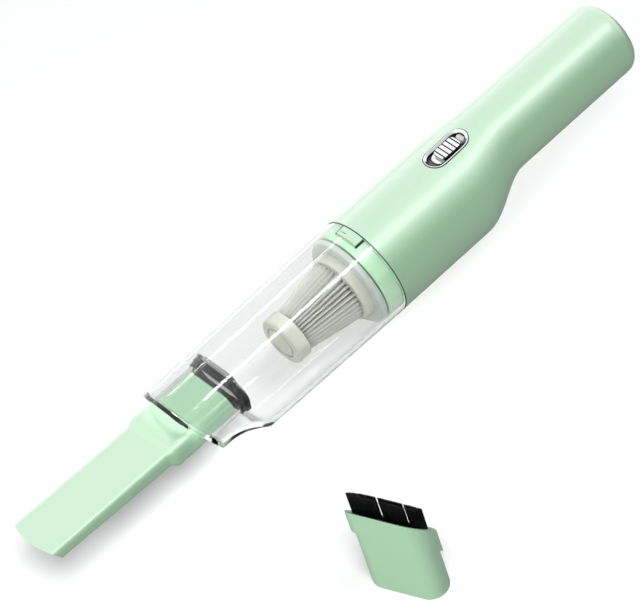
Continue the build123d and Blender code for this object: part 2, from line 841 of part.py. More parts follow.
with BuildPart() as inlet_ring:
    around = 2 * ring_margin
    add(rounded_bar(ring_seat, ring_front, sleeve_width + around, sleeve_height + around, 8.0, tube_rise))
    sleeve_hollow = rounded_bar(ring_seat + 0.1, ring_front - 1, sleeve_width, sleeve_height, 7.35, tube_rise)
    add(sleeve_hollow, mode=Mode.SUBTRACT)
    add(rounded_bar(ring_seat, ring_back, lip_width, lip_height, 8.7, tube_rise))
    lip_hollow = rounded_bar(ring_seat - 1.1, ring_back + 1, bore_width, bore_height, bore_corner, tube_rise)
    add(lip_hollow, mode=Mode.SUBTRACT)
    ear_foot = 14.6
    for side in (-1, 1):
        with BuildSketch(hinge_plane(side * ear_y)):
            Circle(ear_radius)
            with Locations((0, (ear_foot - hinge_z) / 2)):
                Rectangle(2 * ear_radius, hinge_z - ear_foot)
            with Locations((-front_lobe_step, -front_lobe_drop)):
                Circle(front_lobe_radius)
            with Locations((-front_lobe_step, (ear_foot - hinge_z - front_lobe_drop) / 2)):
                Rectangle(2 * front_lobe_radius, hinge_z - ear_foot - front_lobe_drop)
        extrude(amount=ear_width / 2, both=True)
    with BuildSketch(hinge_plane(0)):
        Circle(hinge_pin_radius)
    extrude(amount=15, both=True, mode=Mode.SUBTRACT)
finish(inlet_ring.part, "inlet_ring")

with BuildPart() as flap_pin:
    with BuildSketch(hinge_plane(0)):
        Circle(hinge_pin_radius)
    extrude(amount=12.3, both=True)
finish(flap_pin.part, "flap_pin")

flap_plate_x = -89.1
flap_thickness = 1.2
flap_barrel_radius = 1.0
barrel_half_length = 9.1
flap_width = bore_width + 2
flap_height = bore_height + 3

with BuildPart() as inlet_flap:
    flap_front = flap_plate_x + flap_thickness
    add(rounded_bar(flap_plate_x, flap_front, flap_width, flap_height, 7.4, tube_rise - 0.4))
    with BuildSketch(level(13.0, flap_plate_x + flap_thickness / 2)):
        Rectangle(flap_thickness, 2 * barrel_half_length)
    extrude(amount=hinge_z - 13.0)
    with BuildSketch(hinge_plane(0)):
        Circle(flap_barrel_radius)
    extrude(amount=barrel_half_length, both=True)
    with BuildSketch(hinge_plane(0)):
        Circle(hinge_pin_radius + 0.05)
    extrude(amount=15, both=True, mode=Mode.SUBTRACT)
finish(inlet_flap.part, "inlet_flap")

# ================= crevice nozzle =================

mouth_gap = 0.3
insert_fit = 0.4


def nozzle_sections(inset):
    """Station, centre height, width, height and corner of the blade from shoulder to tip."""
    past_tip = tip_top_x - 3.0
    return (
        (shoulder_x, neck_centre, neck_width - inset, neck_height - inset, 4.8 - inset / 2),
        (blade_start_x, blade_root_centre, blade_width - inset, blade_root_height - inset, 3.4 - inset / 2),
        (past_tip, blade_tip_centre, blade_width - inset, blade_tip_height - inset, 2.6 - inset / 2),
    )


def blade_form(inset):
    """Shoulder and blade as two lofts end to end, or their hollow when inset."""
    sections = nozzle_sections(inset)
    with BuildPart() as form:
        for first, second in zip(sections, sections[1:]):
            for x, centre, width, height, corner in (first, second):
                with BuildSketch(station(x, centre)):
                    RectangleRounded(width, height, corner)
            loft()
    return form.part


slope = math.radians(tip_slant)
tip_sweep = Vector(math.sin(slope), 0, -math.cos(slope))
tip_side = blade_width / 2
tip_lift = 10.0
tip_start = tip_top_x - tip_lift * math.tan(slope)

with BuildPart() as crevice_nozzle:
    add(rounded_bar(-104.0, shoulder_x, neck_width, neck_height, 4.8, neck_centre))
    with BuildSketch(mouth_plane.offset(mouth_gap)):
        Rectangle(90, 120)
    extrude(amount=-60, mode=Mode.SUBTRACT)
    insert_width = bore_width - insert_fit
    insert_height = bore_height - insert_fit
    insert_corner = bore_corner - insert_fit / 2
    add(rounded_bar(insert_end, shoulder_x, insert_width, insert_height, insert_corner, tube_rise))
    add(blade_form(0.0))
    walls = 2 * duct_wall
    duct_width = insert_width - walls
    duct = rounded_bar(insert_end + 1, shoulder_x, duct_width, insert_height - walls, 4.4, tube_rise)
    add(duct, mode=Mode.SUBTRACT)
    add(blade_form(walls), mode=Mode.SUBTRACT)
    with BuildSketch(level(tip_top_z + tip_lift)):
        with BuildLine():
            near, far = (tip_start + tip_bow, -tip_side), (tip_start + tip_bow, tip_side)
            ThreePointArc(near, (tip_start, 0), far)
            Polyline(far, (tip_start + tip_bow, 30), (-250, 30), (-250, -30), (tip_start + tip_bow, -30), near)
        make_face()
    extrude(amount=40, dir=tip_sweep, mode=Mode.SUBTRACT)
finish(crevice_nozzle.part, "crevice_nozzle")

# ================= loose dusting brush =================

brush_origin_x = seam_x + brush_x
brush_origin_y = axis_y + brush_y

across = Vector(1, 0, 0).rotate(Axis.Z, brush_yaw)
along = Vector(0, 1, 0).rotate(Axis.Z, brush_yaw)


def brush_plane(z):
    """Plane parallel to the floor through the brush, its y along the long side."""
    return Plane(origin=(brush_origin_x, brush_origin_y, z), x_dir=across, z_dir=(0, 0, 1))


def brush_mouth(drop):
    """The slanted mouth plane of the brush, lowered by a distance measured upright."""
    angle = math.radians(brush_slant)
    facing = across * math.sin(angle) + Vector(0, 0, math.cos(angle))
    middle = Vector(brush_origin_x, brush_origin_y, brush_height - drop)
    return Plane(origin=middle - across * (brush_depth / 2), x_dir=along, z_dir=facing)


def oval_column(length, depth, top_drop, bottom_drop):
    """An upright oval column from the slanted mouth plane down to a parallel plane, or to the floor."""
    with BuildPart() as column:
        with BuildSketch(brush_plane(0)):
            SlotOverall(length, depth, rotation=90)
        extrude(amount=brush_height + 25)
        with BuildSketch(brush_mouth(top_drop)):
            Rectangle(120, 120)
        extrude(amount=90, mode=Mode.SUBTRACT)
        if bottom_drop is not None:
            with BuildSketch(brush_mouth(bottom_drop)):
                Rectangle(120, 120)
            extrude(amount=-90, mode=Mode.SUBTRACT)
    return column.part


inner_length = brush_length - 2 * brush_wall
inner_depth = brush_depth - 2 * brush_wall
carrier_drop = 9.0
carrier_plate = 4.0

with BuildPart() as brush_body:
    add(oval_column(brush_length, brush_depth, 0.0, None))
    add(oval_column(brush_length + 2 * collar_step, brush_depth + 2 * collar_step, 0.0, collar_height))
    add(oval_column(inner_length, inner_depth, -20.0, None), mode=Mode.SUBTRACT)
finish(brush_body.part, "brush_body")

gap = 0.05
duct_length = inner_length - 2 * bristle_ring
duct_depth = inner_depth - 2 * bristle_ring

with BuildPart() as brush_carrier:
    carrier_bottom = carrier_drop + carrier_plate
    add(oval_column(inner_length - 2 * gap, inner_depth - 2 * gap, carrier_drop, carrier_bottom))
    add(oval_column(duct_length, duct_depth, 0.5, carrier_bottom))
    add(oval_column(duct_length - 2.2, duct_depth - 2.2, -20.0, None), mode=Mode.SUBTRACT)
finish(brush_carrier.part, "brush_carrier")

tuft_gap = 0.7

with BuildPart() as brush_bristles:
    add(oval_column(inner_length - 2 * gap, inner_depth - 2 * gap, -bristle_height, carrier_drop))
    add(oval_column(duct_length, duct_depth, -30.0, None), mode=Mode.SUBTRACT)
    with BuildSketch(brush_plane(0)):
        with GridLocations(1, 10.6, 1, 2):
            Rectangle(60, tuft_gap)
    extrude(amount=90, mode=Mode.SUBTRACT)
finish(brush_bristles.part, "brush_bristles")
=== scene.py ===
# %% [markdown]
# # A cordless desk vacuum and its loose dusting brush
# The construction comes in as a fixed frame: every solid is already at its real size and place. This lesson
# adds what the eye sees: moulded plastic, a clear cup, folded filter paper, chromed trim and black bristles.

# %% Load the fixed frame
import json
import math
import bpy
from mathutils import Matrix, Vector


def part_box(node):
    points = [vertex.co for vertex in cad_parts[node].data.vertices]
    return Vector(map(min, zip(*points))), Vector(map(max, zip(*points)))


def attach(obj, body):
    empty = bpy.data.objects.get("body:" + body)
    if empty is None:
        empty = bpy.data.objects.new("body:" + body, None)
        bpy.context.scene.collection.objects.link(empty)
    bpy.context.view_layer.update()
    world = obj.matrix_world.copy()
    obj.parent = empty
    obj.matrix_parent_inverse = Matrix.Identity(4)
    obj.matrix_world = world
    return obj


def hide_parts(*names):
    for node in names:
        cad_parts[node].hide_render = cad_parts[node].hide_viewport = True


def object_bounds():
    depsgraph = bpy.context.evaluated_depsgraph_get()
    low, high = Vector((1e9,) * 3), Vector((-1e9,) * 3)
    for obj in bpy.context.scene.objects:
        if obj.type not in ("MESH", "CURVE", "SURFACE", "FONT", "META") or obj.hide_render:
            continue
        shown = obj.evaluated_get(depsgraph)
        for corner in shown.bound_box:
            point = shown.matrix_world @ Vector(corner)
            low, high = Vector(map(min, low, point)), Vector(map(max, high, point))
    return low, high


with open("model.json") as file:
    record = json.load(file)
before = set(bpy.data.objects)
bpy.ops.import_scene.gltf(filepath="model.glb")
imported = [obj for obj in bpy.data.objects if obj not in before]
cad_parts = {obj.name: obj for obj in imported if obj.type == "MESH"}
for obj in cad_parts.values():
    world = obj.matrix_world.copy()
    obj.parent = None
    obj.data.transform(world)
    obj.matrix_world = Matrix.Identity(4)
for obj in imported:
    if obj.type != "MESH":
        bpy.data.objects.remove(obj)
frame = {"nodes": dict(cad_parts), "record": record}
nodes = frame["nodes"]
cad_low, cad_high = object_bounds()
print(f"{len(nodes)} solids, box {[round(v * 1000, 1) for v in cad_high - cad_low]} mm")

# %% [markdown]
# ## One point and one unit
# The object's own sizes are in millimetres, and its places are counted from one point: where the long axis
# crosses the seam between body and cup. It is read from the body shell's own box, so it stays right if the
# frame moves. Lamps and the floor are large and far, and are given in metres.

# %% The seam point
mm = 0.001
shell_low, shell_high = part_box("body_shell")
body_radius = (shell_high.y - shell_low.y) / 2
seam = Vector((shell_low.x, (shell_low.y + shell_high.y) / 2, shell_low.z + body_radius))


def at(x, y=0.0, z=0.0):
    """A place in metres, from millimetres along, across and above the seam point."""
    return seam + Vector((x, y, z)) * mm


print("seam point", [round(v, 4) for v in seam])

# %% [markdown]
# ## Camera
# A long lens from far away keeps the vacuum's sides nearly parallel, as product pictures do. The camera is
# rolled, so that the vacuum lies along the picture's diagonal.

# %% Camera
camera_right = Vector((0.7069, -0.6725, -0.2193))
camera_up = Vector((0.6322, 0.4617, 0.6222))
camera_back = Vector((-0.3172, -0.5785, 0.7515))
camera_place = at(-660.1, -1151.6, 1498.1)

camera_data = bpy.data.cameras.new("product_camera")
camera_data.sensor_width = 36.0
camera_data.lens = 246.8
camera_data.clip_start = 0.05
camera_data.clip_end = 30.0
camera = bpy.data.objects.new("product_camera", camera_data)
bpy.context.scene.collection.objects.link(camera)
camera_turn = Matrix((camera_right, camera_up, camera_back)).transposed().to_4x4()
camera.matrix_world = Matrix.Translation(camera_place) @ camera_turn
bpy.context.scene.camera = camera
print("camera", [round(v, 3) for v in camera.location])

# %% [markdown]
# ## Soft studio light
# Glossy plastic is drawn by what it mirrors, so the light is planned as a mirror picture. Two short, narrow
# strips draw the white lines along the clear cup. A wider, softer strip and three panels give every piece its
# sheen and its plain light, and one small lamp brings up the brush. Two lamps high above are for the floor.
# Area lamps are chosen, because a point or a sun would be mirrored as a spot and not as a line.

# %% Lamp helper


def area_light(name, target, offset, sides, power):
    """A rectangular soft light beside a target and turned to it, its first side along the vacuum."""
    data = bpy.data.lights.new(name, "AREA")
    data.shape = "RECTANGLE"
    data.size = sides[0]
    data.size_y = sides[1]
    data.energy = power
    lamp = bpy.data.objects.new(name, data)
    bpy.context.scene.collection.objects.link(lamp)
    place = target + Vector(offset)
    back = (place - target).normalized()
    side = (Vector((1, 0, 0)) - back * back.x).normalized()
    up = back.cross(side)
    lamp.matrix_world = Matrix.Translation(place) @ Matrix((side, up, back)).transposed().to_4x4()
    return lamp


# %% Lamps
middle = (cad_low + cad_high) / 2
cup_middle = at(-72.0)
brush_spot = at(-100.0, -125.0)

# Each row is a name, the target, the way from there to the lamp and its two sides in metres, and its watts.
lamp_rows = [
    ("strip_light", cup_middle, (0.42, -0.30, 1.00), (0.40, 0.10), 7.0),
    ("back_strip", cup_middle, (0.42, 0.76, 0.71), (0.40, 0.05), 2.2),
    ("soft_strip", middle, (0.36, -0.30, 1.00), (0.9, 0.34), 2.2),
    ("overhead_panel", middle, (0.10, 0.35, 1.30), (1.2, 0.8), 0.3),
    ("end_panel", middle, (-1.25, -0.35, 0.95), (0.4, 0.4), 6.5),
    ("front_panel", middle, (0.0, -1.30, 0.50), (1.2, 0.5), 2.9),
    ("floor_key", middle, (-0.70, -1.55, 3.10), (1.3, 1.3), 160.0),
    ("side_key", middle, (1.10, -1.10, 3.10), (1.5, 1.5), 53.0),
    ("brush_key", brush_spot, (-0.72, -0.12, 0.72), (0.4, 0.4), 4.6),
]
lamps = {row[0]: area_light(*row) for row in lamp_rows}
print("lamps:", list(lamps))

# %% [markdown]
# ## What each lamp may touch
# A lamp that is right for one effect can spoil another. Two strips are there to be mirrored only, so matt
# surfaces don't see them, and the front panel fills shade without being mirrored. Three lamps are hidden
# from rays that have passed through the cup's wall, because they would veil what is inside. The narrow strips
# light only the cup, and the brush's lamp lights only the brush body.

# %% Rays that don't see a lamp
for name in ("strip_light", "soft_strip"):
    lamps[name].visible_diffuse = False
for name in ("soft_strip", "end_panel", "overhead_panel"):
    lamps[name].visible_transmission = False
lamps["front_panel"].visible_glossy = False

# %% Light kept to one piece


def light_only(lamp, *receivers):
    """Keeps a lamp's light to the objects named."""
    lit = bpy.data.collections.new(lamp.name + "_receivers")
    for thing in receivers:
        lit.objects.link(thing)
    lamp.light_linking.receiver_collection = lit


light_only(lamps["strip_light"], nodes["dust_cup"])
light_only(lamps["back_strip"], nodes["dust_cup"])
light_only(lamps["brush_key"], nodes["brush_body"])
print("lamps with a piece of their own: strip_light, back_strip, brush_key")

# %% [markdown]
# ## Helpers for nodes
# Sky, finishes and shapes are all small graphs of nodes. These helpers make a node and fill its inputs in one
# line, whether an input gets a plain value or a link from another node's socket.

# %% Node helpers


def put(tree, source, target):
    """Links a socket into an input, or sets a plain value on it."""
    if isinstance(source, bpy.types.NodeSocket):
        tree.links.new(source, target)
    else:
        target.default_value = source


def add_node(tree, kind, inputs=None, **settings):
    """A node with its settings by name, then a socket or a plain value for each input named."""
    node = tree.nodes.new(kind)
    for name, value in settings.items():
        setattr(node, name, value)
    for label, source in (inputs or {}).items():
        put(tree, source, node.inputs[label])
    return node


def feed(tree, node, *sources):
    """Fills a node's inputs in turn, each from a socket or a plain value."""
    for target, source in zip(node.inputs, sources):
        put(tree, source, target)
    return node


def calc(tree, operation, *sources, **settings):
    """One math step on sockets or numbers."""
    node = add_node(tree, "ShaderNodeMath", operation=operation, **settings)
    return feed(tree, node, *sources).outputs[0]


def mix_colour(tree, share, first, second):
    """The colour at a share of the way between two others."""
    inputs = {"Factor": share, "A": first, "B": second}
    return add_node(tree, "ShaderNodeMix", inputs, data_type="RGBA").outputs["Result"]


def grey(level):
    """A grey colour, opaque."""
    return (level, level, level, 1)


# %% [markdown]
# ## Sky
# Most of what glossy plastic mirrors is sky, so each kind of ray gets a sky of its own. Matt surfaces get an
# even fill. Mirror rays see a bright sky above and behind, which gives every top its sheen, and a dim one in
# front, which leaves the near side deep. Rays that leave through the clear wall see a flatter and lower one,
# so that the cup's inside isn't veiled. The camera itself sees plain white.

# %% Sky values
fill_strength = 0.42
fill_colour = (0.96, 0.98, 1.0, 1)
bright_sky = 3.2
dim_sky = 0.08
glass_bright = 0.85
glass_dim = 0.2
bright_side_tilt = math.radians(22)
dim_edge = -0.85
bright_edge = 0.12

# %% Sky
world = bpy.data.worlds.new("studio")
world.use_nodes = True
bpy.context.scene.world = world
sky = world.node_tree
fill = sky.nodes["Background"]
fill.inputs["Color"].default_value = fill_colour
fill.inputs["Strength"].default_value = fill_strength

sky_rays = add_node(sky, "ShaderNodeLightPath").outputs
sky_way = add_node(sky, "ShaderNodeTexCoord").outputs["Generated"]
bright_way = (0.0, math.cos(bright_side_tilt), math.sin(bright_side_tilt))
sky_side = feed(sky, add_node(sky, "ShaderNodeVectorMath", operation="DOT_PRODUCT"), sky_way, bright_way)
sky_edges = {"Value": sky_side.outputs["Value"], "From Min": dim_edge, "From Max": bright_edge}
sky_ramp = add_node(sky, "ShaderNodeMapRange", sky_edges, interpolation_type="SMOOTHSTEP")
for end, plain, glass in (("To Min", dim_sky, glass_dim), ("To Max", bright_sky, glass_bright)):
    choice = {"Value": sky_rays["Is Transmission Ray"], "To Min": plain, "To Max": glass}
    put(sky, add_node(sky, "ShaderNodeMapRange", choice).outputs["Result"], sky_ramp.inputs[end])

mirrored = {"Color": grey(1), "Strength": sky_ramp.outputs["Result"]}
mirror_sky = add_node(sky, "ShaderNodeBackground", mirrored).outputs["Background"]
seen_sky = add_node(sky, "ShaderNodeBackground", {"Color": grey(1), "Strength": 1.0}).outputs["Background"]
mirror_mix = add_node(sky, "ShaderNodeMixShader")
feed(sky, mirror_mix, sky_rays["Is Glossy Ray"], fill.outputs["Background"], mirror_sky)
camera_mix = add_node(sky, "ShaderNodeMixShader")
feed(sky, camera_mix, sky_rays["Is Camera Ray"], mirror_mix.outputs["Shader"], seen_sky)
put(sky, camera_mix.outputs["Shader"], sky.nodes["World Output"].inputs["Surface"])
bpy.context.scene.view_settings.view_transform = "Standard"
print("sky: fill", fill_strength, "mirrored", dim_sky, "to", bright_sky, "through glass", glass_dim, "up")

# %% [markdown]
# ## Floor
# The floor is a plain pale sheet. Rays from the camera, straight or through the clear cup, see its full
# colour and a little glow that helps it to white, and the shadows stay in it. Light that bounces off it onto
# the object is kept weaker, as if the sheet were small, so that the undersides stay deep. Its far side glows
# for mirror rays alone, which gives the object's back the sheen that a white backdrop would.

# %% Floor values
floor_pale = 0.52
floor_bounce = 0.15
floor_glow = 0.03
far_glow = 1.6
far_glow_from = 0.02
far_glow_full = 0.12
floor_roughness = 0.9
floor_half = 3.0

# %% Floor material
floor_material = bpy.data.materials.new("pale_floor")
floor_material.use_nodes = True
floor_tree = floor_material.node_tree
floor_shader = floor_tree.nodes["Principled BSDF"]
floor_shader.inputs["Roughness"].default_value = floor_roughness
floor_shader.inputs["Specular IOR Level"].default_value = 0.0
floor_shader.inputs["Emission Color"].default_value = grey(1)

floor_rays = add_node(floor_tree, "ShaderNodeLightPath").outputs
glossy_ray = floor_rays["Is Glossy Ray"]
passed_ray = floor_rays["Is Transmission Ray"]
mirror_ray = calc(floor_tree, "SUBTRACT", glossy_ray, passed_ray, use_clamp=True)
bounced_ray = calc(floor_tree, "MAXIMUM", floor_rays["Is Diffuse Ray"], mirror_ray)
floor_colour = mix_colour(floor_tree, bounced_ray, grey(floor_pale), grey(floor_bounce))
put(floor_tree, floor_colour, floor_shader.inputs["Base Color"])

near_values = {"Value": bounced_ray, "To Min": floor_glow, "To Max": 0.0}
near_lift = add_node(floor_tree, "ShaderNodeMapRange", near_values).outputs["Result"]
floor_place = add_node(floor_tree, "ShaderNodeTexCoord").outputs["Object"]
floor_spot = feed(floor_tree, add_node(floor_tree, "ShaderNodeSeparateXYZ"), floor_place)
far_values = {
    "Value": floor_spot.outputs["Y"],
    "From Min": seam.y + far_glow_from,
    "From Max": seam.y + far_glow_full,
    "To Max": far_glow,
}
far_side = add_node(floor_tree, "ShaderNodeMapRange", far_values, interpolation_type="SMOOTHSTEP")
far_lift = calc(floor_tree, "MULTIPLY", far_side.outputs["Result"], mirror_ray)
put(floor_tree, calc(floor_tree, "ADD", near_lift, far_lift), floor_shader.inputs["Emission Strength"])
print("floor colour", floor_pale, "seen and", floor_bounce, "bounced")

# %% Floor sheet
floor_mesh = bpy.data.meshes.new("floor")
floor_corners = [(-floor_half, -floor_half, 0), (floor_half, -floor_half, 0)]
floor_corners += [(floor_half, floor_half, 0), (-floor_half, floor_half, 0)]
floor_mesh.from_pydata(floor_corners, [], [(0, 1, 2, 3)])
floor_mesh.materials.append(floor_material)
floor = bpy.data.objects.new("floor", floor_mesh)
bpy.context.scene.collection.objects.link(floor)
print("floor half width", floor_half, "m")

# %% [markdown]
# ## Shadows on the floor
# The two lamps high above light only the floor. Each one has a short list of the pieces that may block it, so
# that soft shadows fall beside the nozzle and the brush, and the rest of the floor stays clear.

# %% Floor lamps and their shadows
light_only(lamps["floor_key"], floor)
light_only(lamps["side_key"], floor)
key_blockers = bpy.data.collections.new("key_blockers")
side_blockers = bpy.data.collections.new("side_blockers")
key_blockers.objects.link(nodes["crevice_nozzle"])
for blockers in (key_blockers, side_blockers):
    blockers.objects.link(nodes["brush_body"])
lamps["floor_key"].light_linking.blocker_collection = key_blockers
lamps["side_key"].light_linking.blocker_collection = side_blockers

# %% [markdown]
# ## Surface groups
# Two node groups hold the surfaces that many finishes share: the fine spark-eroded skin of moulded plastic,
# and the streaks of drawn or turned metal. A picture wrapped round each piece could do the same, but a
# pattern worked out from the place on the piece needs no unwrapping and shows no seam.

# %% Group helpers


def socket_in(group, name, kind, value):
    """One named input on a node group."""
    item = group.interface.new_socket(name, in_out="INPUT", socket_type=kind)
    item.default_value = value


def make_group(name, inputs, outputs):
    """A shader group with its sockets only: the group, what comes in and where the results go."""
    group = bpy.data.node_groups.new(name, "ShaderNodeTree")
    for label, kind, value in inputs:
        socket_in(group, label, kind, value)
    for label, kind in outputs:
        group.interface.new_socket(label, in_out="OUTPUT", socket_type=kind)
    return group, group.nodes.new("NodeGroupInput").outputs, group.nodes.new("NodeGroupOutput").inputs


def spread(group, value, low, high):
    """Moves a value from 0..1 to low..high."""
    ends = {"Value": value, "To Min": low, "To Max": high}
    return add_node(group, "ShaderNodeMapRange", ends, clamp=False).outputs["Result"]


surface_outputs = [
    ("Color", "NodeSocketColor"),
    ("Roughness", "NodeSocketFloat"),
    ("Height", "NodeSocketFloat"),
]

# %% Moulded skin
skin_inputs = [
    ("Color", "NodeSocketColor", (0.5, 0.5, 0.5, 1)),
    ("Deep Color", "NodeSocketColor", (0.4, 0.4, 0.4, 1)),
    ("Smooth", "NodeSocketFloat", 0.3),
    ("Rough", "NodeSocketFloat", 0.4),
    ("Grain Scale", "NodeSocketFloat", 2500.0),
    ("Flow Scale", "NodeSocketFloat", 25.0),
]
moulded_skin, skin_in, skin_out = make_group("moulded_skin", skin_inputs, surface_outputs)
skin_place = add_node(moulded_skin, "ShaderNodeTexCoord").outputs["Object"]
flow_values = {"Vector": skin_place, "Scale": skin_in["Flow Scale"], "Detail": 3.0, "Roughness": 0.5}
skin_flow = add_node(moulded_skin, "ShaderNodeTexNoise", flow_values).outputs["Fac"]
grain_values = {"Vector": skin_place, "Scale": skin_in["Grain Scale"], "Detail": 2.0, "Roughness": 0.6}
skin_grain = add_node(moulded_skin, "ShaderNodeTexNoise", grain_values).outputs["Fac"]
skin_colour = mix_colour(moulded_skin, skin_flow, skin_in["Color"], skin_in["Deep Color"])
skin_rough = spread(moulded_skin, skin_grain, skin_in["Smooth"], skin_in["Rough"])
put(moulded_skin, skin_colour, skin_out["Color"])
put(moulded_skin, skin_rough, skin_out["Roughness"])
put(moulded_skin, skin_grain, skin_out["Height"])
print(moulded_skin.name, "made")

# %% Drawn metal
metal_inputs = [
    ("Color", "NodeSocketColor", (0.6, 0.6, 0.6, 1)),
    ("Dark Color", "NodeSocketColor", (0.4, 0.4, 0.4, 1)),
    ("Smooth", "NodeSocketFloat", 0.2),
    ("Rough", "NodeSocketFloat", 0.4),
    ("Stretch", "NodeSocketVector", (60.0, 3000.0, 3000.0)),
]
drawn_metal, metal_in, metal_out = make_group("drawn_metal", metal_inputs, surface_outputs)
metal_place = add_node(drawn_metal, "ShaderNodeTexCoord").outputs["Object"]
metal_map = add_node(drawn_metal, "ShaderNodeMapping", {"Vector": metal_place, "Scale": metal_in["Stretch"]})
streak_values = {"Vector": metal_map.outputs["Vector"], "Scale": 1.0, "Detail": 4.0, "Roughness": 0.6}
streaks = add_node(drawn_metal, "ShaderNodeTexNoise", streak_values).outputs["Fac"]
metal_colour = mix_colour(drawn_metal, streaks, metal_in["Dark Color"], metal_in["Color"])
metal_rough = spread(drawn_metal, streaks, metal_in["Smooth"], metal_in["Rough"])
put(drawn_metal, metal_colour, metal_out["Color"])
put(drawn_metal, metal_rough, metal_out["Roughness"])
put(drawn_metal, streaks, metal_out["Height"])
print(drawn_metal.name, "made")

# %% Material helpers
grain_depth = 0.05


def new_material(name, **constants):
    """A material with one Principled shader, whose plain values are set on its own sockets."""
    material = bpy.data.materials.new(name)
    material.use_nodes = True
    shader = material.node_tree.nodes["Principled BSDF"]
    for label, value in constants.items():
        shader.inputs[label.replace("_", " ")].default_value = value
    return material


def dress(material, group, bump, **inputs):
    """Feeds a surface group into the material's colour, roughness and bump."""
    tree = material.node_tree
    shader = tree.nodes["Principled BSDF"]
    values = {label.replace("_", " "): value for label, value in inputs.items()}
    surface = add_node(tree, "ShaderNodeGroup", values, node_tree=group).outputs
    raise_by = {"Height": surface["Height"], "Strength": bump, "Distance": grain_depth * mm}
    raised = add_node(tree, "ShaderNodeBump", raise_by)
    put(tree, surface["Color"], shader.inputs["Base Color"])
    put(tree, surface["Roughness"], shader.inputs["Roughness"])
    put(tree, raised.outputs["Normal"], shader.inputs["Normal"])
    return material


def plastic(name, colour, deep, smooth, rough, bump=0.06, grain=2500.0, **constants):
    """Moulded plastic: a main colour, the same a little deeper, and a range of roughness."""
    return dress(
        new_material(name, **constants), moulded_skin, bump,
        Color=(*colour, 1), Deep_Color=(*deep, 1), Smooth=smooth, Rough=rough, Grain_Scale=grain,
    )


def metal(name, colour, dark, smooth, rough, bump=0.03):
    """Drawn, turned or rolled metal with streaks along the vacuum's length."""
    return dress(
        new_material(name, Metallic=1.0), drawn_metal, bump,
        Color=(*colour, 1), Dark_Color=(*dark, 1), Smooth=smooth, Rough=rough,
    )


# %% [markdown]
# ## Clear plastic
# The cup is one clear moulding, darker where its wall is seen edge on, because the eye looks through more of
# it. A volume inside the wall could give that, but it is slow and thin walls are grainy, so the tint deepens
# toward the rim instead. Shadow rays pass straight through, so that lamps light what is inside, and so does a
# ray that has already bent at more than four surfaces.

# %% Clear plastic
rim_blend = 0.35
rim_power = 2.6
wall_pass = (0.88, 0.89, 0.89, 1)
surfaces_bent = 4.5


def clear_plastic(name, tint, roughness, ior, rim_shade=0.2, sheen=1.0):
    """Clear plastic with a darker rim, open to shadow rays and to rays deep inside."""
    material = new_material(
        name, Transmission_Weight=1.0, IOR=ior, Roughness=roughness, Specular_Tint=grey(sheen),
    )
    tree = material.node_tree
    shader = tree.nodes["Principled BSDF"]
    rim = add_node(tree, "ShaderNodeLayerWeight", {"Blend": rim_blend}).outputs["Facing"]
    rim_tint = [part * rim_shade for part in tint]
    thick = mix_colour(tree, calc(tree, "POWER", rim, rim_power), (*tint, 1), (*rim_tint, 1))
    put(tree, thick, shader.inputs["Base Color"])
    rays = add_node(tree, "ShaderNodeLightPath").outputs
    deep = calc(tree, "GREATER_THAN", rays["Transmission Depth"], surfaces_bent)
    clear = calc(tree, "MAXIMUM", deep, rays["Is Shadow Ray"])
    through = add_node(tree, "ShaderNodeBsdfTransparent", {"Color": wall_pass}).outputs["BSDF"]
    mix = feed(tree, add_node(tree, "ShaderNodeMixShader"), clear, shader.outputs["BSDF"], through)
    put(tree, mix.outputs["Shader"], tree.nodes["Material Output"].inputs["Surface"])
    return material


# %% [markdown]
# ## The finishes
# One finish for each kind of stuff on the real object. A plastic or a metal has its colour, a second colour
# that the pattern runs to, and its smoothest and roughest value. The mint pieces share one plastic with a
# thin gloss coat. Pieces deep inside get plain finishes, since little of them is ever seen.

